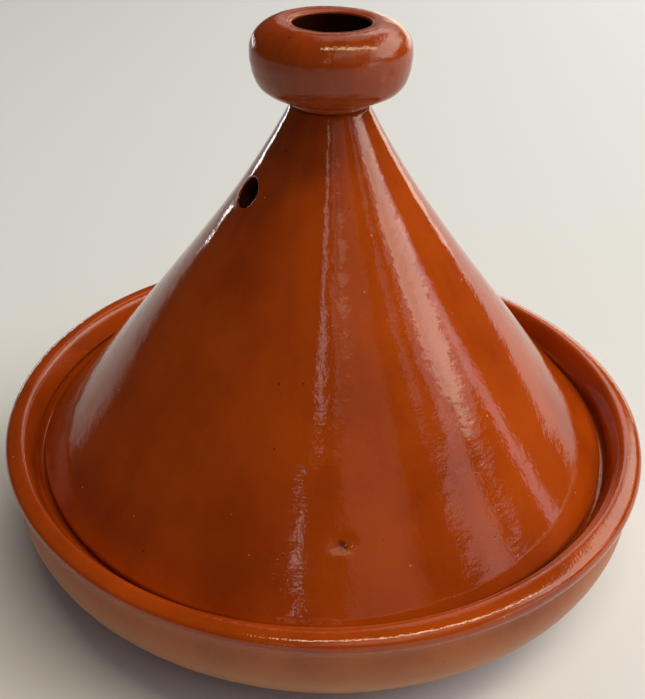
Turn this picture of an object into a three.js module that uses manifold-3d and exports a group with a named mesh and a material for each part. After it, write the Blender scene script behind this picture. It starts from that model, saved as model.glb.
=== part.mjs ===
// Tagine pot: a shallow thrown dish, a conical lid that rests inside its rim, and a hollow knob on the lid.
// Millimetres, +Z up. The origin is the centre of the dish's flat underside. The steam hole faces -X.

import * as THREE from 'three';
import { mergeVertices } from 'three/addons/utils/BufferGeometryUtils.js';
import Module from 'manifold-3d';

// ---------------------------------------------------------------- driving dimensions

const gap = 0.3;                  // between two pieces that touch

const rimRadius = 155.6;          // widest point of the dish, on the outside of its rim
const rimHeight = 61.6;           // top of the rim above the table
const footRadius = 108;           // flat underside
const footRound = 3;
const dishFloor = 10.5;           // thickness of the dish at its centre
const seatHeight = 45.7;          // ledge inside the rim that carries the lid
const seatInner = 132.5;
const seatOuter = 140.2;

const lidBottom = seatHeight + gap;
const lidEdgeRadius = 137.7;      // widest point of the lid
const lidEdgeRound = 2.8;
const lidWall = 7.4;              // thickness across the slope
const lidHollowTop = 199;
const neckHeight = 212.8;         // crease between the lid and the knob
const neckRadius = 16.8;

const steamHoleRadius = 6.9;
const steamHoleHeight = 178;      // centre of the hole on the outside of the lid

const knobBottom = neckHeight + gap;
const knobRadius = 33.5;
const knobWallMid = 234;          // height of the knob's widest point
const knobTop = 246.4;
const wellRadius = 15.8;          // at its mouth; the well is wider below
const wellBelly = 18.2;
const wellFloor = 219;

const largeSegments = 64;         // sides of the dish and of the lid
const smallSegments = 40;         // sides of the knob
const holeSegments = 24;

// ---------------------------------------------------------------- helpers

// A smooth line through outline points [radius, height].
function smooth(points, steps) {
  const curve = new THREE.SplineCurve(points.map(([r, z]) => new THREE.Vector2(r, z)));
  return curve.getPoints(steps);
}

// Part of a circle in an outline, from one angle to another in degrees.
function arc(r, z, radius, from, to, steps) {
  const points = [];
  for (let i = 0; i <= steps; i += 1) {
    const angle = THREE.MathUtils.degToRad(from + ((to - from) * i) / steps);
    points.push(new THREE.Vector2(r + radius * Math.cos(angle), z + radius * Math.sin(angle)));
  }
  return points;
}

const at = (r, z) => new THREE.Vector2(r, z);

// Turns an outline round the Z axis. The outline starts and ends on the axis or closes on itself.
function turned(outline, segments) {
  const geometry = new THREE.LatheGeometry(outline, segments);
  geometry.rotateX(Math.PI / 2);
  return geometry;
}

function glazedClay(color) {
  return new THREE.MeshStandardMaterial({ color, roughness: 0.25, metalness: 0 });
}

function named(name, geometry, material) {
  const mesh = new THREE.Mesh(geometry, material);
  mesh.name = name;
  return mesh;
}

// ---------------------------------------------------------------- solids for boolean cuts

const wasm = await Module();
wasm.setup();

function toSolid(geometry) {
  const bare = geometry.clone();
  bare.deleteAttribute('normal');
  bare.deleteAttribute('uv');
  const merged = mergeVertices(bare, 1e-4);
  const vertProperties = new Float32Array(merged.attributes.position.array);
  const triVerts = new Uint32Array(merged.index.array);
  return new wasm.Manifold(new wasm.Mesh({ numProp: 3, vertProperties, triVerts }));
}

function toGeometry(solid) {
  const mesh = solid.getMesh();
  const geometry = new THREE.BufferGeometry();
  geometry.setAttribute('position', new THREE.BufferAttribute(mesh.vertProperties, 3));
  geometry.setIndex(new THREE.BufferAttribute(mesh.triVerts, 1));
  geometry.computeVertexNormals();
  return geometry;
}

// ---------------------------------------------------------------- dish

// From the centre of the underside, up the outside, over the rim, and down the inside to the floor.
function baseDish() {
  const foot = arc(footRadius, footRound, footRound, -90, -25, 2);
  const belly = smooth([[113, 2.6], [130, 8.5], [143, 18.5], [150.5, 28.4], [152.8, 37.6], [151.4, 48]], 10);
  const rim = smooth([
    [151.6, 51],
    [153.9, 53.6],
    [rimRadius, 56.8],
    [153.6, 60],
    [149.6, rimHeight],
    [146.3, 61.3],
    [144.4, 59.6],
    [142.9, 56],
    [140.8, 49],
  ], 8);
  const seat = [
    at(seatOuter, seatHeight + 1.4),
    at(seatOuter - 1.4, seatHeight),
    at(seatInner + 1.2, seatHeight),
    at(seatInner, seatHeight - 1.2),
  ];
  const bowl = smooth([[133.4, 41], [134, 36], [131.4, 28.4], [124.4, 21.4], [112, 16.4], [88, 12.9], [50, 11]], 6);
  return turned([at(0, 0), ...foot, ...belly, ...rim, ...seat, ...bowl, at(0, dishFloor)], largeSegments);
}

// ---------------------------------------------------------------- lid

// The outside of the cone, from just above its edge to just below the neck. It is very slightly concave.
const coneOutside = new THREE.SplineCurve([
  at(136.9, 50.6),
  at(130.1, 58),
  at(112.8, 78.2),
  at(98.6, 96.8),
  at(79.1, 121.6),
  at(57.5, 149.5),
  at(39.7, 174.3),
  at(27.9, 192.9),
  at(20.3, 205.5),
  at(neckRadius + 0.4, neckHeight - 1),
]);

// The cone's outline point at a fraction of its length, moved inwards across the slope.
function conePoint(fraction, depth) {
  const point = coneOutside.getPoint(fraction);
  const along = coneOutside.getTangent(fraction);
  return at(point.x - along.y * depth, point.y + along.x * depth);
}

function lidCone() {
  const steps = 9;
  const outside = [];
  for (let i = 0; i <= steps; i += 1) {
    outside.push(conePoint(i / steps, 0));
  }
  const hollowEnd = 7;
  const inside = [];
  for (let i = hollowEnd; i >= 1; i -= 1) {
    inside.push(conePoint(i / steps, lidWall));
  }
  const hollowCap = [at(0, lidHollowTop), at(7, lidHollowTop - 1.6), at(12.5, lidHollowTop - 6)];
  const edge = arc(lidEdgeRadius - lidEdgeRound, lidBottom + lidEdgeRound, lidEdgeRound, -90, 20, 4);
  const innerEdge = [at(128.4, lidBottom + 1.6), at(129.6, lidBottom)];
  const top = [at(neckRadius - 0.6, neckHeight), at(0, neckHeight)];
  const cone = turned([...hollowCap, ...inside, ...innerEdge, ...edge, ...outside, ...top], largeSegments);
  return toGeometry(toSolid(cone).subtract(toSolid(steamHole())));
}

// A round punch held square to the slope of the lid.
function steamHole() {
  const { point, slope } = coneAtHeight(steamHoleHeight);
  const punch = new THREE.CylinderGeometry(steamHoleRadius, steamHoleRadius, 6 * lidWall, holeSegments);
  punch.rotateZ(Math.PI / 2 - slope);
  punch.translate(-point.x, point.y, 0);
  punch.rotateX(Math.PI / 2);
  return punch;
}

// Finds where the outside of the cone is at a height, and how far its normal tips up from level.
function coneAtHeight(height) {
  let low = 0;
  let high = 1;
  for (let i = 0; i < 30; i += 1) {
    const middle = (low + high) / 2;
    if (coneOutside.getPoint(middle).y < height) {
      low = middle;
    } else {
      high = middle;
    }
  }
  const along = coneOutside.getTangent(low);
  return { point: coneOutside.getPoint(low), slope: Math.atan2(-along.x, along.y) };
}

// ---------------------------------------------------------------- knob

// A thick flattened cup on a short upright neck. Its well is open at the top and wider below its mouth.
function lidKnob() {
  const outside = smooth([
    [neckRadius + 0.5, knobBottom + 1.6],
    [18.8, 216.3],
    [23.2, 217.5],
    [27.3, 218.9],
    [30.4, 221.8],
    [32.2, 226],
    [33.2, 230.6],
    [knobRadius, knobWallMid],
    [32.4, 239.2],
    [29, 243.4],
    [24.6, 245.8],
    [20.6, knobTop],
    [17.2, 246.1],
    [wellRadius, 245.2],
  ], 12);
  const well = [at(17.2, 240), at(wellBelly, 233), at(16.6, 226), at(12.8, 221.6), at(8, 219.8), at(0, wellFloor)];
  return turned([at(0, knobBottom), at(neckRadius + 0.4, knobBottom), ...outside, ...well], smallSegments);
}

// ---------------------------------------------------------------- assembly

const lid = new THREE.Group();
lid.add(named('lid_cone', lidCone(), glazedClay(0x8c3a10)));
lid.add(named('lid_knob', lidKnob(), glazedClay(0x984a26)));

const tagine = new THREE.Group();
tagine.add(named('base_dish', baseDish(), glazedClay(0x8f4a20)));
tagine.add(lid);

export default tagine;
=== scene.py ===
# A glazed earthenware tagine: a thrown dish, a conical lid with a steam hole, and a cup-shaped knob.
import math

import bpy
import numpy as np
from mathutils import Matrix, Vector, noise


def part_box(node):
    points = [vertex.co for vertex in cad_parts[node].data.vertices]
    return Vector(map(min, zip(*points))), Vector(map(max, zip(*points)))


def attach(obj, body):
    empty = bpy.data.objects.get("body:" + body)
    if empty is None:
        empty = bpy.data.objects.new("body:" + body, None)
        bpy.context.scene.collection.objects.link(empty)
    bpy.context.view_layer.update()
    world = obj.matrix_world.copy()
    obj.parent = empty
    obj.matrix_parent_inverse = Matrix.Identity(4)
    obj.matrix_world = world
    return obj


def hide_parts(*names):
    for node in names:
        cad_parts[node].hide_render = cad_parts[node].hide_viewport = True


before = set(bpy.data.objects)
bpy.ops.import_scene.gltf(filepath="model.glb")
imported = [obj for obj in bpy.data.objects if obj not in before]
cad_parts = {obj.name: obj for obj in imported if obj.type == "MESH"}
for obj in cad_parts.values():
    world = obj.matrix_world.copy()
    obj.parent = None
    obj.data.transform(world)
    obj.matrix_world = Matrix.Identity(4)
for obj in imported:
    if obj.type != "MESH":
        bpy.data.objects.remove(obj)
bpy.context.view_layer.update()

MM = 0.001

# ------------------------------------------------------------------ sizes, in millimetres

_, DISH_HIGH = (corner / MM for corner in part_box("base_dish"))
CONE_LOW, CONE_HIGH = (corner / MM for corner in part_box("lid_cone"))
KNOB_LOW, KNOB_HIGH = (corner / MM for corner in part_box("lid_knob"))

OVAL = 0.9                        # how far the dish's wall and rim swell and shrink, twice round
OVAL_AZIMUTH = math.radians(121)
OVAL_RADIUS = 141                 # the oval is full outside this radius
RELIEF_ROOM = 0.1                 # what the outlines leave for the relief inside the CAD box
GAP = 0.3                         # between the lid and its ledge

RIM_RADIUS = DISH_HIGH.x - OVAL
RIM_TOP = DISH_HIGH.z - RELIEF_ROOM
LID_RADIUS = CONE_HIGH.x
LID_BOTTOM = CONE_LOW.z
NECK_HEIGHT = CONE_HIGH.z
KNOB_RADIUS = KNOB_HIGH.x - 2 * RELIEF_ROOM
KNOB_TOP = KNOB_HIGH.z - RELIEF_ROOM

FOOT_RADIUS = 108
FOOT_ROUND = 3
FOOT_TOP = 8                      # the foot's own unevenness ends at this height
WALL_TOP = 46                     # the throwing rings are faint above this height
BOWL_TOP = 40                     # and deepest in the bowl, below this height
DISH_FLOOR = 10.5
SEAT_HEIGHT = LID_BOTTOM - GAP    # ledge inside the rim that carries the lid
SEAT_INNER = 132.5
SEAT_OUTER = 140.2
SEAT_ROUND = 1.4

LID_WALL = 7.4
LID_HOLLOW_TOP = 198.6
HOLE_RADIUS = 6.9
HOLE_HEIGHT = 178
HOLE_LIP = 0.8                    # radius of the hole's rounded edge
HOLE_AZIMUTH = math.pi

WELL_RADIUS = 15.8                # at its mouth
WELL_BELLY = 18.2
WELL_FLOOR = 219

# Azimuth, radius and height of each dent, and its size.
LID_SCAR = (math.radians(-110), 116.5, 74)
LID_SCAR_SIZE = 3.2
KNOB_SCAR = (math.radians(-72), 33, 231.7)
KNOB_SCAR_SIZE = 2.2

DISH_SIDES = 288
LID_SIDES = 256
KNOB_SIDES = 144


# ------------------------------------------------------------------ outlines

def smooth_line(points, spacing):
    """A natural cubic spline through outline points, with a point about every spacing."""
    knots = np.array(points, float)
    chord = np.linalg.norm(np.diff(knots, axis=0), axis=1)
    at = np.concatenate([[0], np.cumsum(chord)])
    count = len(at)
    system = np.eye(count)
    bends = np.zeros((count, 2))
    for i in range(1, count - 1):
        system[i, i - 1 : i + 2] = chord[i - 1], 2 * (chord[i - 1] + chord[i]), chord[i]
        bends[i] = 6 * ((knots[i + 1] - knots[i]) / chord[i] - (knots[i] - knots[i - 1]) / chord[i - 1])
    second = np.linalg.solve(system, bends)
    along = np.linspace(0, at[-1], max(2, round(at[-1] / spacing) + 1))
    span = np.clip(np.searchsorted(at, along, side="right") - 1, 0, count - 2)
    h = chord[span][:, None]
    a = (at[span + 1] - along)[:, None] / h
    b = 1 - a
    curve = ((a**3 - a) * second[span] + (b**3 - b) * second[span + 1]) * h**2 / 6
    return a * knots[span] + b * knots[span + 1] + curve


def arc(r, z, radius, start, end, steps):
    """Part of a circle in an outline, from one angle to another in degrees."""
    angles = np.radians(np.linspace(start, end, steps + 1))
    return np.stack([r + radius * np.cos(angles), z + radius * np.sin(angles)], axis=1)


def straight(start, end, spacing):
    """Evenly spaced points from start to end."""
    steps = max(1, round(math.dist(start, end) / spacing))
    return np.linspace(start, end, steps + 1)


def joined(*pieces):
    """One outline from pieces that follow each other, without doubled points."""
    points = np.concatenate([np.atleast_2d(np.array(p, float)) for p in pieces])
    keep = np.concatenate([[True], np.linalg.norm(np.diff(points, axis=0), axis=1) > 0.02])
    return points[keep]


def outline_normals(outline):
    """The outward direction at each point of an outline that runs with the clay on its left."""
    along = np.gradient(outline, axis=0)
    along /= np.linalg.norm(along, axis=1)[:, None]
    return np.stack([along[:, 1], -along[:, 0]], axis=1)


# ------------------------------------------------------------------ relief

def wobble(x, y, z, size, seed):
    """Smooth noise from -1 to 1 with features of a size in millimetres."""
    return noise.noise(Vector((x / size + seed, y / size - seed, z / size + 2 * seed)))


def throwing_rings(r, z, azimuth, pitch, seed):
    """The shallow spiral of a potter's fingers. It rises one pitch in each turn, and fades in and out."""
    turns = math.hypot(r * 0.6, z) / pitch - azimuth / (2 * math.pi)
    depth = 0.6 + 0.6 * wobble(r * 2, z * 2, 0, 60, seed)
    drift = 0.9 * wobble(math.cos(azimuth) * 20, math.sin(azimuth) * 20, (r + z) * 0.8, 30, seed + 5)
    return math.cos(2 * math.pi * turns + drift) * depth


def scar(x, y, z, place, size):
    """A fingertip dent with a raised lip below it and a small fold across it, 1 deep at its middle."""
    azimuth, radius, height = place
    east = Vector((-math.sin(azimuth), math.cos(azimuth), 0))
    middle = Vector((radius * math.cos(azimuth), radius * math.sin(azimuth), height))
    offset = Vector((x, y, z)) - middle
    if offset.length > 4 * size:
        return 0
    u, w = offset.dot(east) / size, (z - height) / size
    fold = math.exp(-((w - 0.35 * math.sin(2.2 * u)) ** 2) * 6 - u * u * 0.6)
    lip = math.exp(-((w + 1.1) ** 2) * 3 - u * u * 0.8)
    return -math.exp(-(u * u + w * w)) - 0.8 * fold + 0.7 * lip


# ------------------------------------------------------------------ meshes

def turned_rings(outline, sides, relief):
    """A ring of points round the Z axis for each outline point, pushed along its normal by the relief."""
    normals = outline_normals(outline)
    rings = []
    for (r, z), (nr, nz) in zip(outline, normals):
        if r < 0.01:
            rings.append([(0, 0, z)])
            continue
        ring = []
        for i in range(sides):
            azimuth = 2 * math.pi * i / sides
            push = relief(r, z, azimuth)
            out = r + nr * push
            ring.append((out * math.cos(azimuth), out * math.sin(azimuth), z + nz * push))
        rings.append(ring)
    return rings


def skin(rings, skip=lambda ring, side: False):
    """Joins neighbouring rings with faces, except those to skip.

    Returns points, faces and each ring's first point number.
    """
    points = [point for ring in rings for point in ring]
    starts = np.concatenate([[0], np.cumsum([len(ring) for ring in rings])])[:-1].tolist()
    faces = []
    for j in range(len(rings) - 1):
        low, high = rings[j], rings[j + 1]
        sides = max(len(low), len(high))
        for i in range(sides):
            if skip(j, i):
                continue
            n = (i + 1) % sides
            if len(low) == 1:
                faces.append((starts[j], starts[j + 1] + n, starts[j + 1] + i))
            elif len(high) == 1:
                faces.append((starts[j] + i, starts[j] + n, starts[j + 1]))
            else:
                faces.append((starts[j] + i, starts[j] + n, starts[j + 1] + n, starts[j + 1] + i))
    return points, faces, starts


def mesh_object(name, points, faces):
    """A smooth-shaded object from points in millimetres."""
    mesh = bpy.data.meshes.new(name)
    mesh.from_pydata([(x * MM, y * MM, z * MM) for x, y, z in points], [], faces)
    mesh.validate()
    mesh.shade_smooth()
    mesh.update()
    obj = bpy.data.objects.new(name, mesh)
    bpy.context.scene.collection.objects.link(obj)
    return obj


# ------------------------------------------------------------------ dish

def dish_outline():
    """From the centre of the underside, up the outside, over the rim and down the inside."""
    underside = straight((0, 0), (FOOT_RADIUS, 0), 3)
    foot = arc(FOOT_RADIUS, FOOT_ROUND, FOOT_ROUND, -90, -25, 5)
    belly = smooth_line([
        (113, 2.3),
        (130, 8.4),
        (143, 18.5),
        (150.3, 28.4),
        (152.5, 37.6),
        (151.4, 47),
    ], 1.6)
    rim = smooth_line([
        (151.2, 49.6),
        (152.2, 52.4),
        (154.0, 54.2),
        (RIM_RADIUS, 57),
        (154.3, 58.9),
        (153.2, 60.1),
        (150.6, RIM_TOP - 0.4),
        (148.6, RIM_TOP),
        (146.4, RIM_TOP - 0.2),
        (144.9, 60.2),
        (143.9, 58.4),
        (142.2, 54),
        (140.7, 49),
    ], 0.8)
    seat = joined(
        arc(SEAT_OUTER - SEAT_ROUND, SEAT_HEIGHT + SEAT_ROUND, SEAT_ROUND, 0, -90, 4),
        arc(SEAT_INNER + SEAT_ROUND, SEAT_HEIGHT - SEAT_ROUND, SEAT_ROUND, 90, 180, 4),
    )
    bowl = smooth_line([
        (133.4, 41),
        (134, 36),
        (131.4, 28.4),
        (124.4, 21.4),
        (112, 16.4),
        (88, 12.9),
        (50, 11),
        (0, DISH_FLOOR),
    ], 2.4)
    return joined(underside, foot, belly, rim, seat, bowl)


def dish_relief(r, z, azimuth):
    """Unevenness of the dish: a sandy underside, a foot without rings, and throwing rings above it.

    The oval is full on the upper wall and the rim. Just inside the rim it turns over and fades to nothing at
    the ledge, so that the lid stands level.
    """
    x, y = r * math.cos(azimuth), r * math.sin(azimuth)
    if z < 0.5:
        return 0.12 * wobble(x, y, 0, 9, 3) - 0.14
    if z < FOOT_TOP:
        return 0.2 * wobble(x, y, z, 30, 4) - 0.2
    full_oval = r > OVAL_RADIUS
    ring_depth = 0.1 if z < WALL_TOP else 0.03
    if not full_oval and z < BOWL_TOP:
        ring_depth = 0.13
    oval_share = 1 if full_oval else -min(max((z - SEAT_HEIGHT) / 4, 0), 1)
    return (
        ring_depth * throwing_rings(r, z, azimuth, 7.5, 2)
        + OVAL * (r / RIM_RADIUS) * math.cos(2 * (azimuth - OVAL_AZIMUTH)) * oval_share
        + 0.16 * wobble(x, y, z, 45, 1)
        + 0.05 * wobble(x, y, z, 12, 7)
        - 0.1
    )


def make_dish():
    rings = turned_rings(dish_outline(), DISH_SIDES, dish_relief)
    points, faces, _ = skin(rings)
    return mesh_object("dish_glazed", points, faces)


# ------------------------------------------------------------------ lid

# The outside of the cone, from just above its edge to just below the neck. It is very slightly concave.
CONE_OUTSIDE = smooth_line([
    (136.6, 50.9),
    (130.3, 57.9),
    (113.0, 78.2),
    (98.3, 96.8),
    (79.0, 121.6),
    (57.6, 149.5),
    (39.7, 174.3),
    (27.8, 192.9),
    (20.4, 205.5),
    (17.0, NECK_HEIGHT - 1),
], 1.7)


def cone_inside():
    """The outside moved in across the slope by the wall, up to where the hollow closes."""
    inside = CONE_OUTSIDE - outline_normals(CONE_OUTSIDE) * LID_WALL
    return inside[(inside[:, 1] > LID_BOTTOM + 2.2) & (inside[:, 1] < 189)][::-1]


def lid_outline():
    """From the top of the hollow, down the inside, round the edge and up the outside to the neck."""
    inside = cone_inside()
    cap = smooth_line([(0, LID_HOLLOW_TOP), (7, 197.4), (13.6, 193.6), tuple(inside[0])], 1.7)
    edge = joined(
        arc(129.6, LID_BOTTOM + 1.6, 1.6, 200, 270, 4),
        straight((130.4, LID_BOTTOM), (134, LID_BOTTOM), 1.2),
        arc(LID_RADIUS - 3, LID_BOTTOM + 2.9, 2.9, -88, 30, 9),
    )
    top = [(16.3, NECK_HEIGHT), (0, NECK_HEIGHT)]
    return joined(cap, inside, edge, CONE_OUTSIDE, top)


def lid_relief(r, z, azimuth):
    """Unevenness of the lid: faint rings and one dent. The edge it stands on and the neck stay true."""
    x, y = r * math.cos(azimuth), r * math.sin(azimuth)
    if z < LID_BOTTOM + 1 or z > NECK_HEIGHT - 0.5:
        return 0
    return (
        0.025 * throwing_rings(r, z, azimuth, 9, 11)
        + 0.25 * wobble(x, y, z, 55, 12)
        + 0.05 * wobble(x, y, z, 14, 13)
        + 0.7 * scar(x, y, z, LID_SCAR, LID_SCAR_SIZE)
    )


class HoleFrame:
    """The steam hole's axis, square to the slope, with directions across and up the slope."""

    def __init__(self):
        i = int(np.argmin(abs(CONE_OUTSIDE[:, 1] - HOLE_HEIGHT)))
        nr, nz = outline_normals(CONE_OUTSIDE)[i]
        c, s = math.cos(HOLE_AZIMUTH), math.sin(HOLE_AZIMUTH)
        r, z = CONE_OUTSIDE[i]
        self.origin = np.array([r * c, r * s, z])
        self.out = np.array([nr * c, nr * s, nz])
        self.across = np.array([-s, c, 0])
        self.up = np.cross(self.out, self.across)

    def polar(self, point):
        """A point's distance from the axis and its angle round it."""
        offset = np.array(point) - self.origin
        u, w = offset @ self.across, offset @ self.up
        return math.hypot(u, w), math.atan2(w, u)

    def on_surface(self, radius, angle, wall):
        """The point of a wall, given as an outline that rises, at a distance and angle from the axis."""
        base = self.origin + radius * (math.cos(angle) * self.across + math.sin(angle) * self.up)
        low, high = -30.0, 8.0
        for _ in range(30):
            middle = (low + high) / 2
            x, y, z = base + middle * self.out
            if math.hypot(x, y) < np.interp(z, wall[:, 1], wall[:, 0]):
                low = middle
            else:
                high = middle
        return base + low * self.out


HOLE = HoleFrame()

# The window in the lid's grid that the loops round the hole take up.
WINDOW_ROWS = 16
WINDOW_COLUMNS = 20

# How far the loops between the window and the hole's edge have come, from 0 to 1.
LOOP_STEPS = (0.25, 0.45, 0.62, 0.76, 0.87, 0.94)
LIP_STEPS = 6

BURR_HEIGHT = 0.28
BURR_WIDTH = 1.5


def window(outline, numbers, height):
    """First and last outline numbers of the window, centred on a height, on one side of the wall."""
    centre = min(numbers, key=lambda j: abs(outline[j][1] - height))
    return centre - WINDOW_ROWS // 2, centre + WINDOW_ROWS // 2


def make_lid():
    """The cone as one closed shell.

    Round the steam hole, two windows in its grid are joined by loops that run through the wall.
    """
    outline = lid_outline()
    widest = int(np.argmax(outline[:, 0]))
    edge_points = 8
    middle = LID_SIDES // 2
    columns = (middle - WINDOW_COLUMNS // 2, middle + WINDOW_COLUMNS // 2)
    inner_height = (HOLE.origin - HOLE.out * LID_WALL)[2]
    inner_rows = window(outline, range(edge_points + 1, widest - edge_points), inner_height)
    outer_rows = window(outline, range(widest + edge_points + 1, len(outline)), HOLE_HEIGHT)

    def in_hole(j, i):
        if not columns[0] <= i < columns[1]:
            return False
        return inner_rows[0] <= j < inner_rows[1] or outer_rows[0] <= j < outer_rows[1]

    points, faces, starts = skin(turned_rings(outline, LID_SIDES, lid_relief), in_hole)

    def border(rows):
        """Point numbers round a window, in order of angle about the hole."""
        low, high = rows
        left, right = columns
        around = [starts[low] + i for i in range(left, right)]
        around += [starts[j] + right for j in range(low, high)]
        around += [starts[high] + i for i in range(right, left, -1)]
        around += [starts[j] + left for j in range(high, low, -1)]
        return sorted(around, key=lambda p: HOLE.polar(points[p])[1])

    loops = hole_loops(points, border(outer_rows), border(inner_rows))
    for near, far in zip(loops, loops[1:]):
        for k in range(len(near)):
            n = (k + 1) % len(near)
            faces.append((near[k], near[n], far[n], far[k]))
    return mesh_object("lid_glazed", points, faces)


def hole_loops(points, outer_border, inner_border):
    """Adds the loops of points from the outer window through the wall to the inner one.

    Returns the point numbers of every loop, the two borders included. Side is 1 outside and -1 inside.
    """
    angles = [HOLE.polar(points[p])[1] for p in outer_border]
    lip_radius = HOLE_RADIUS + HOLE_LIP
    inner_wall = cone_inside()[::-1]

    def surface_push(point):
        x, y, z = point
        return lid_relief(math.hypot(x, y), z, math.atan2(y, x) % (2 * math.pi)) * HOLE.out

    def burr(radius):
        """The low ridge that the punch raised round the hole."""
        return BURR_HEIGHT * math.exp(-(((radius - lip_radius) / BURR_WIDTH) ** 2))

    def loop_on(wall, radii, side, sink):
        """One loop at given distances from the hole's axis, sunk into the wall."""
        ids = []
        for angle, radius in zip(angles, radii):
            point = HOLE.on_surface(radius, angle, wall)
            if side > 0:
                point = point + surface_push(point) + HOLE.out * burr(radius)
            point = point - side * HOLE.out * sink
            ids.append(len(points))
            points.append(tuple(point))
        return ids

    def approach(wall, border, side):
        """Loops from a window's border in to the edge of the lip."""
        far = [HOLE.polar(points[p])[0] for p in border]
        found = []
        for t in LOOP_STEPS:
            radii = [f + (lip_radius - f) * t for f in far]
            found.append(loop_on(wall, radii, side, 0))
        return found

    def lip(wall, side):
        """Loops that turn from the surface into the hole."""
        found = []
        for turn in np.radians(np.linspace(0, 90, LIP_STEPS)):
            radius = HOLE_RADIUS + HOLE_LIP * (1 - math.sin(turn))
            sink = HOLE_LIP * (1 - math.cos(turn))
            found.append(loop_on(wall, [radius] * len(angles), side, sink))
        return found

    outer = [outer_border, *approach(CONE_OUTSIDE, outer_border, 1), *lip(CONE_OUTSIDE, 1)]
    inner = [inner_border, *approach(inner_wall, inner_border, -1), *lip(inner_wall, -1)]
    return outer + inner[::-1]


# ------------------------------------------------------------------ knob

def knob_outline():
    """From the neck's centre, up the outside, over the lip and down the well."""
    bottom = straight((0, KNOB_LOW.z), (16.6, KNOB_LOW.z), 3)
    outside = smooth_line([
        (17.4, KNOB_LOW.z + 0.5),
        (17.6, KNOB_LOW.z + 1.7),
        (18.6, 216.3),
        (21.0, 217.2),
        (24.2, 217.7),
        (27.3, 218.9),
        (29.8, 221.0),
        (31.6, 224.2),
        (32.8, 228.8),
        (KNOB_RADIUS, 234),
        (32.1, 239.6),
        (28.9, 243.4),
        (24.6, 245.7),
        (20.6, KNOB_TOP),
        (17.6, KNOB_TOP - 0.3),
    ], 0.9)
    lip = arc(WELL_RADIUS + 1.1, KNOB_TOP - 1.55, 1.1, 70, 180, 7)
    well = smooth_line([
        (WELL_RADIUS + 0.1, KNOB_TOP - 2.2),
        (17.2, 240),
        (WELL_BELLY, 233),
        (16.6, 226),
        (12.8, 221.6),
        (8, 219.8),
        (0, WELL_FLOOR),
    ], 1.2)
    return joined(bottom, outside, lip, well)


def knob_relief(r, z, azimuth):
    """Unevenness of the knob, with one dent. Its underside stays true."""
    x, y = r * math.cos(azimuth), r * math.sin(azimuth)
    if z < KNOB_LOW.z + 0.5:
        return 0
    return (
        0.05 * throwing_rings(r, z, azimuth, 5, 21)
        + 0.34 * wobble(x, y, z, 26, 22)
        + 0.1 * wobble(x, y, z, 7, 23)
        + 0.45 * scar(x, y, z, KNOB_SCAR, KNOB_SCAR_SIZE)
        - 0.12
    )


def make_knob():
    rings = turned_rings(knob_outline(), KNOB_SIDES, knob_relief)
    points, faces, _ = skin(rings)
    return mesh_object("knob_glazed", points, faces)


# ------------------------------------------------------------------ materials

AMBER = (0.41, 0.062, 0.0036)
BROWN = (0.28, 0.036, 0.002)
WALL_AMBER = (0.5, 0.13, 0.035)
WALL_BROWN = (0.32, 0.07, 0.016)
KNOB_AMBER = (0.34, 0.053, 0.006)
KNOB_BROWN = (0.21, 0.028, 0.003)
BUFF = (0.47, 0.215, 0.095)
# Painted shade: near-black browns for the dent in the lid, the steam hole's wall and the knob's well.
PAINTED_SHADE_BROWN = (0.06, 0.011, 0.003)
PAINTED_SHADE_BLACK = (0.014, 0.004, 0.002)
IRON = (0.03, 0.007, 0.002)
GRIT = (0.62, 0.27, 0.09)
CLAY = (0.42, 0.16, 0.075)
CLAY_DARK = (0.27, 0.09, 0.04)
GROG = (0.62, 0.36, 0.2)
CLAY_SMOKE = (0.05, 0.025, 0.015)


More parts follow.
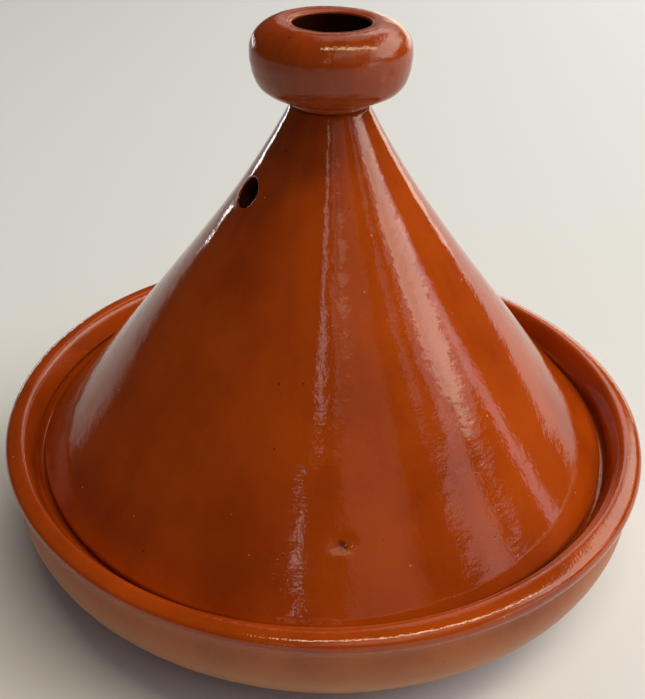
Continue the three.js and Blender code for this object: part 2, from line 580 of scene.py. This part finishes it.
class Graph:
    """Short calls for building a material's nodes."""

    def __init__(self, name):
        self.material = bpy.data.materials.new(name)
        self.material.use_nodes = True
        self.nodes = self.material.node_tree.nodes
        self.links = self.material.node_tree.links
        self.shader = self.nodes["Principled BSDF"]

    def put(self, socket, value):
        if isinstance(value, bpy.types.NodeSocket):
            self.links.new(value, socket)
        elif value is not None:
            socket.default_value = value

    def node(self, kind, inputs=(), **settings):
        made = self.nodes.new(kind)
        for key, value in settings.items():
            setattr(made, key, value)
        for key, value in dict(inputs).items():
            self.put(made.inputs[key], value)
        return made

    def math(self, operation, a, b=None, c=None):
        made = self.node("ShaderNodeMath", operation=operation)
        for socket, value in zip(made.inputs, (a, b, c)):
            self.put(socket, value)
        return made.outputs[0]

    def vector(self, operation, a, b=None):
        made = self.node("ShaderNodeVectorMath", operation=operation)
        self.put(made.inputs[0], a)
        self.put(made.inputs[1], b)
        return made.outputs["Value" if operation == "DISTANCE" else "Vector"]

    def noise(self, vector, scale, detail, roughness):
        """Noise from 0 to 1. The scale is in features per millimetre."""
        made = self.node("ShaderNodeTexNoise", {
            "Vector": vector, "Scale": scale, "Detail": detail, "Roughness": roughness,
        })
        return made.outputs["Fac"]

    def ramp(self, value, low, high):
        """0 below low, 1 above high, smooth between."""
        made = self.node("ShaderNodeMapRange", {"Value": value, "From Min": low, "From Max": high})
        made.interpolation_type = "SMOOTHSTEP"
        return made.outputs["Result"]

    def mix(self, factor, a, b, blend="MIX"):
        made = self.node("ShaderNodeMix", data_type="RGBA", blend_type=blend, clamp_factor=True)
        self.put(made.inputs["Factor"], factor)
        self.put(made.inputs["A"], (*a, 1) if isinstance(a, tuple) else a)
        self.put(made.inputs["B"], (*b, 1) if isinstance(b, tuple) else b)
        return made.outputs["Result"]

    def specks(self, vector, spacing, size, share):
        """1 inside small round spots that stand in a share of the cells, 0 outside."""
        cells = self.node("ShaderNodeTexVoronoi", {"Vector": vector, "Scale": 1 / spacing})
        draw = self.node("ShaderNodeSeparateColor", {"Color": cells.outputs["Color"]}).outputs["Red"]
        chosen = self.math("LESS_THAN", draw, share)
        spot = self.ramp(cells.outputs["Distance"], size / spacing, 0.5 * size / spacing)
        return self.math("MULTIPLY", chosen, spot)

    def relief(self, height):
        """Bumps of a height in millimetres. Returns their normal."""
        bump = self.node("ShaderNodeBump", {"Height": height, "Strength": 1.0, "Distance": MM})
        return bump.outputs["Normal"]


def pot_places(g):
    """Places on the pot in millimetres, and their direction from its axis."""
    place = g.node("ShaderNodeTexCoord").outputs["Object"]
    mm = g.vector("MULTIPLY", place, (1 / MM,) * 3)
    return mm, g.vector("NORMALIZE", g.vector("MULTIPLY", mm, (1, 1, 0)))


def banded(g, mm, around, turns, rise):
    """Noise that is stretched round the pot or down its side."""
    level = g.vector("MULTIPLY", around, (turns,) * 3)
    place = g.vector("ADD", level, g.vector("MULTIPLY", mm, (0, 0, rise)))
    return g.noise(place, 1.0, 4, 0.6)


def painted_dent_shade(g, mm, place, size):
    """1 in a ragged patch round a scar, 0 away from it. The patch is painted shade in the dent, where the
    glaze also pools darker.
    """
    azimuth, radius, height = place
    middle = (radius * math.cos(azimuth), radius * math.sin(azimuth), height)
    distance = g.vector("DISTANCE", mm, middle)
    ragged = g.math("MULTIPLY_ADD", g.noise(mm, 0.45, 3, 0.6), 2 * size, distance)
    return g.ramp(ragged, 2 * size, 1.2 * size)


def glaze(
    name, amber, brown, coat=1.0, coat_roughness=0.035, peel_depth=0.09, pitting=0.02, buff=0, dent=None,
):
    """Transparent amber glaze over red clay. It is brown where it lies thick, with iron specks and pinholes.

    peel_depth and pitting are the depths in millimetres of the orange peel and of the finest bumps. buff is
    how much clay shows towards the foot. dent is a scar's place and size, where painted shade darkens the
    dent and the glaze also pools darker.
    """
    g = Graph(name)
    mm, around = pot_places(g)

    patches = g.math("MULTIPLY", g.noise(mm, 0.018, 4, 0.55), 0.9)
    thickness = g.math("MULTIPLY_ADD", banded(g, mm, around, 5, 0.012), 0.3, patches)
    color = g.mix(g.ramp(thickness, 0.45, 0.85), amber, brown)
    if buff:
        above_foot = g.node("ShaderNodeSeparateXYZ", {"Vector": mm}).outputs["Z"]
        color = g.mix(g.math("MULTIPLY", g.ramp(above_foot, 50, 24), buff), color, BUFF)
    # Painted shade: the dent is darkened towards near-black brown.
    if dent:
        color = g.mix(g.math("MULTIPLY", painted_dent_shade(g, mm, *dent), 0.75), color, PAINTED_SHADE_BROWN)
    grain = g.noise(mm, 1.1, 3, 0.7)
    color = g.mix(0.16, color, g.mix(grain, (0, 0, 0), (1, 1, 1)), "OVERLAY")
    iron = g.specks(mm, spacing=8.0, size=0.65, share=0.25)
    color = g.mix(g.math("MULTIPLY", iron, 0.75), color, IRON)
    grit = g.specks(mm, spacing=8.5, size=0.6, share=0.35)
    color = g.mix(g.math("MULTIPLY", grit, 0.7), color, GRIT)
    g.put(g.shader.inputs["Base Color"], color)

    turning = g.math("MULTIPLY", banded(g, mm, around, 4, 0.62), 0.03)
    height = g.math("MULTIPLY_ADD", g.noise(mm, 0.3, 4, 0.6), peel_depth, turning)
    height = g.math("MULTIPLY_ADD", g.noise(mm, 0.85, 2, 0.5), pitting, height)
    height = g.math("MULTIPLY_ADD", g.noise(mm, 0.07, 3, 0.55), 0.24, height)
    pinholes = g.math("ADD", iron, grit)
    normal = g.relief(g.math("MULTIPLY_ADD", pinholes, -0.05, height))
    g.put(g.shader.inputs["Normal"], normal)
    g.put(g.shader.inputs["Coat Normal"], normal)
    g.put(g.shader.inputs["Roughness"], g.ramp(thickness, 1.4, -0.2))

    g.shader.inputs["Specular IOR Level"].default_value = 0
    g.shader.inputs["Coat Weight"].default_value = coat
    g.shader.inputs["Coat Roughness"].default_value = coat_roughness
    g.shader.inputs["Coat IOR"].default_value = 1.5
    return g.material


def bare_clay(name, soot):
    """Fired red earthenware without glaze: sandy, with turning scratches, grog and patches of soot."""
    g = Graph(name)
    mm, around = pot_places(g)
    scratches = banded(g, mm, around, 3, 1.4)
    grain = g.noise(mm, 1.8, 4, 0.75)
    tone = g.math("MULTIPLY_ADD", grain, 0.5, g.math("MULTIPLY", g.noise(mm, 0.03, 4, 0.6), 0.7))
    color = g.mix(g.ramp(tone, 0.4, 0.8), CLAY, CLAY_DARK)
    grog = g.specks(mm, spacing=4.5, size=0.55, share=0.3)
    color = g.mix(g.math("MULTIPLY", grog, 0.6), color, GROG)
    smoke = g.math("MULTIPLY", g.ramp(g.noise(mm, 0.022, 3, 0.6), 0.5, 0.72), soot)
    color = g.mix(smoke, color, CLAY_SMOKE)
    g.put(g.shader.inputs["Base Color"], color)
    height = g.math("MULTIPLY_ADD", grain, 0.12, g.math("MULTIPLY", scratches, 0.16))
    g.put(g.shader.inputs["Normal"], g.relief(g.math("MULTIPLY_ADD", grog, 0.08, height)))
    g.put(g.shader.inputs["Roughness"], g.ramp(tone, -0.9, 1.0))
    g.shader.inputs["Specular IOR Level"].default_value = 0.2
    return g.material


def split(obj, slots, zone):
    """Gives each face the material that zone picks from its centre in millimetres."""
    for material in slots:
        obj.data.materials.append(material)
    for face in obj.data.polygons:
        face.material_index = zone(*(face.center / MM))


# ------------------------------------------------------------------ pieces

# Heights up the dish's wall, and the radius half way between its outside and the bowl there.
WALL_MIDDLE = ((8, 100), (12, 112), (16, 127), (21, 136), (28, 141), (36, 145))

CLAY_EDGE = 1.6       # the foot is bare below this height
GLOSS_EDGE = 53.6     # the outer wall is satin below this height and glossy above it


def dish_zone(x, y, z):
    """0 is glossy glaze, 1 the satin outer wall and 2 the bare underside."""
    if z < CLAY_EDGE:
        return 2
    heights, middles = zip(*WALL_MIDDLE)
    outer_wall = math.hypot(x, y) > np.interp(z, heights, middles)
    return 1 if outer_wall and z < GLOSS_EDGE else 0


def lid_zone(x, y, z):
    """0 is glossy glaze, 1 the bare clay inside and under the edge, and 2 the wall of the steam hole,
    painted near-black as shade.
    """
    near_hole = abs(z - HOLE_HEIGHT) < 25 and x < 0
    if near_hole and HOLE.polar((x, y, z))[0] < HOLE_RADIUS + 0.1:
        return 2
    wall_middle = np.interp(z, CONE_OUTSIDE[:, 1], CONE_OUTSIDE[:, 0]) - LID_WALL * 0.4
    inside = math.hypot(x, y) < wall_middle and z < NECK_HEIGHT - 2
    under_edge = z < LID_BOTTOM + 0.6
    return 1 if inside or under_edge else 0


def knob_zone(x, y, z):
    """0 is glossy glaze and 1 the well, painted near-black brown as shade."""
    in_well = math.hypot(x, y) < WELL_BELLY + 0.5
    return 1 if in_well and KNOB_LOW.z + 4 < z < KNOB_TOP - 1.6 else 0


dish = make_dish()
split(dish, (
    glaze("dish_glaze", AMBER, BROWN, pitting=0.08),
    glaze("wall_glaze", WALL_AMBER, WALL_BROWN, coat=0.7, coat_roughness=0.3, peel_depth=0.05, buff=0.85),
    bare_clay("foot_clay", soot=0.7),
), dish_zone)
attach(dish, "dish")
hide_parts("base_dish")

lid = make_lid()
split(lid, (
    glaze("lid_glaze", AMBER, BROWN, peel_depth=0.05, dent=(LID_SCAR, LID_SCAR_SIZE)),
    bare_clay("lid_clay", soot=0.35),
    # The steam hole's wall is painted near-black: painted shade.
    glaze("hole_painted_shade_glaze", PAINTED_SHADE_BROWN, PAINTED_SHADE_BLACK, coat=0.5),
), lid_zone)
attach(lid, "lid")
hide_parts("lid_cone")

knob = make_knob()
split(knob, (
    glaze("knob_glaze", KNOB_AMBER, KNOB_BROWN, coat=0.8, peel_depth=0.16, pitting=0.1),
    # The knob's well is painted near-black brown: painted shade.
    glaze("well_painted_shade_glaze", PAINTED_SHADE_BROWN, PAINTED_SHADE_BLACK, coat=0.6),
), knob_zone)
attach(knob, "lid")
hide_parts("lid_knob")


# ------------------------------------------------------------------ stage

CAMERA_TURN = math.radians(-24)
CAMERA_PLACE = (-0.00098, -0.3865, 0.3416)
CAMERA_PITCH = math.radians(33.07)    # down from level
CAMERA_ROLL = math.radians(1.157)
SENSOR = 36                           # millimetres
LENS = 48.788                         # millimetres

POT_MIDDLE = Vector((0, 0, 0.12))

FLOOR_HALF = 6
FLOOR_COLOR = (0.74, 0.8, 0.96, 1)

DAYLIGHT = (1, 0.97, 0.95)
HAZE = (1, 0.88, 0.9)


def from_camera(azimuth, elevation, distance):
    """A point round the pot. Azimuth 0 is the camera's side and 90 is to the camera's right, in degrees."""
    a, e = math.radians(azimuth), math.radians(elevation)
    side = Vector((math.sin(a) * math.cos(e), -math.cos(a) * math.cos(e), math.sin(e))) * distance
    return Matrix.Rotation(CAMERA_TURN, 3, "Z") @ side


def area_light(name, size, radiance, color):
    """A rectangular light. Its radiance is its brightness as seen in a mirror."""
    data = bpy.data.lights.new(name, "AREA")
    data.shape = "RECTANGLE"
    data.size, data.size_y = size
    data.energy = radiance * math.pi * size[0] * size[1]
    data.color = color
    light = bpy.data.objects.new(name, data)
    bpy.context.scene.collection.objects.link(light)
    return light


def panel(name, azimuth, elevation, distance, size, radiance, color):
    """A flat softbox that faces the pot."""
    light = area_light(name, size, radiance, color)
    light.location = from_camera(azimuth, elevation, distance) + POT_MIDDLE
    light.rotation_euler = (POT_MIDDLE - light.location).to_track_quat("-Z", "Y").to_euler()


def strip(name, start, end, width, radiance, color):
    """A straight tube light between two points given as camera right, camera back and up, in metres."""
    turn = Matrix.Rotation(CAMERA_TURN, 3, "Z")
    a, b = turn @ Vector(start), turn @ Vector(end)
    middle = (a + b) / 2
    along = (b - a).normalized()
    back = (middle - POT_MIDDLE).normalized()
    back = (back - along * back.dot(along)).normalized()
    side = back.cross(along)
    light = area_light(name, ((b - a).length, width), radiance, color)
    light.matrix_world = Matrix.Translation(middle) @ Matrix((along, side, back)).transposed().to_4x4()


def make_floor():
    mesh = bpy.data.meshes.new("floor")
    corners = [(-1, -1), (1, -1), (1, 1), (-1, 1)]
    mesh.from_pydata([(x * FLOOR_HALF, y * FLOOR_HALF, 0) for x, y in corners], [], [(0, 1, 2, 3)])
    floor = bpy.data.objects.new("floor", mesh)
    material = bpy.data.materials.new("floor_paper")
    material.use_nodes = True
    shader = material.node_tree.nodes["Principled BSDF"]
    shader.inputs["Base Color"].default_value = FLOOR_COLOR
    shader.inputs["Roughness"].default_value = 0.9
    mesh.materials.append(material)
    bpy.context.scene.collection.objects.link(floor)


def make_camera():
    data = bpy.data.cameras.new("camera")
    data.sensor_width = SENSOR
    data.lens = LENS
    data.clip_start = 0.01
    camera = bpy.data.objects.new("camera", data)
    turn = Matrix.Rotation(CAMERA_TURN, 4, "Z")
    tilt = Matrix.Rotation(math.radians(90) - CAMERA_PITCH, 4, "X")
    roll = Matrix.Rotation(CAMERA_ROLL, 4, "Z")
    camera.matrix_world = turn @ Matrix.Translation(CAMERA_PLACE) @ tilt @ roll
    bpy.context.scene.collection.objects.link(camera)
    bpy.context.scene.camera = camera


def make_lights():
    """The room: broad soft light from the right and behind, and the shapes that the glossy cone reflects."""
    strip("ceiling_tube", (-0.45, -0.44, 3.1), (2.6, 0.07, 3.1), 0.24, 21, (1, 0.82, 0.5))
    panel("key", 108, 36, 3.4, (4.0, 1.6), 3.4, (1, 0.97, 0.8))
    panel("back_wall", 160, 31, 3.4, (1.5, 0.8), 2.1, (1, 0.9, 0.84))
    panel("back_high", 172, 50, 3.2, (1.2, 1.6), 0.9, (1, 0.87, 0.84))
    panel("back_glow", 170, 16, 3.4, (2.0, 0.7), 0.6, (1, 0.88, 0.8))
    panel("front_fill", 52, 60, 3, (3.0, 1.4), 1.2, (1, 0.92, 0.7))
    panel("low_fill", 62, 5, 3, (1.4, 0.6), 2.0, (1, 0.93, 0.8))
    # Soft patches on the right of the cone.
    panel("haze_a", 70, 28, 3, (0.45, 0.5), 1.1, HAZE)
    panel("haze_b", 87, 22, 3, (0.9, 0.55), 1.2, HAZE)
    panel("haze_c", 64, 21, 3, (0.9, 0.4), 1.1, (1, 0.9, 0.85))
    panel("haze_d", 57, 33, 3, (0.25, 0.45), 0.6, HAZE)
    panel("centre_haze", 26, 34, 3, (1.3, 1.1), 0.25, (1, 0.88, 0.8))
    panel("right_window", 96, 16, 3, (0.3, 0.9), 1.6, (1, 0.85, 0.95))
    # The broken streak down the middle of the cone, as if from a door that stands ajar.
    panel("door_gap", -1.5, 42, 3, (0.15, 0.42), 2.1, DAYLIGHT)
    panel("door_low", -9, 30.5, 3, (0.14, 0.14), 3.2, DAYLIGHT)
    panel("door_lowest", -12, 26, 3, (0.4, 0.2), 3.2, DAYLIGHT)
    panel("door_top", 4, 50, 3, (0.1, 0.35), 1.3, DAYLIGHT)
    panel("door_side", 9, 44, 3, (0.08, 0.7), 0.8, DAYLIGHT)
    # Low lights behind the pot, which edge the cone and light the dish's wall.
    panel("back_left", -146, 0.6, 3, (1.0, 0.17), 7, (1, 0.98, 0.96))
    panel("back_right", 156, 3, 3, (2.2, 0.8), 2.6, (1, 0.9, 0.7))


def make_world():
    world = bpy.data.worlds.new("world")
    world.use_nodes = True
    background = world.node_tree.nodes["Background"]
    background.inputs["Color"].default_value = (0.9, 0.9, 0.9, 1)
    background.inputs["Strength"].default_value = 0.03
    bpy.context.scene.world = world


make_floor()
make_camera()
make_lights()
make_world()
bpy.context.scene.view_settings.view_transform = "Standard"
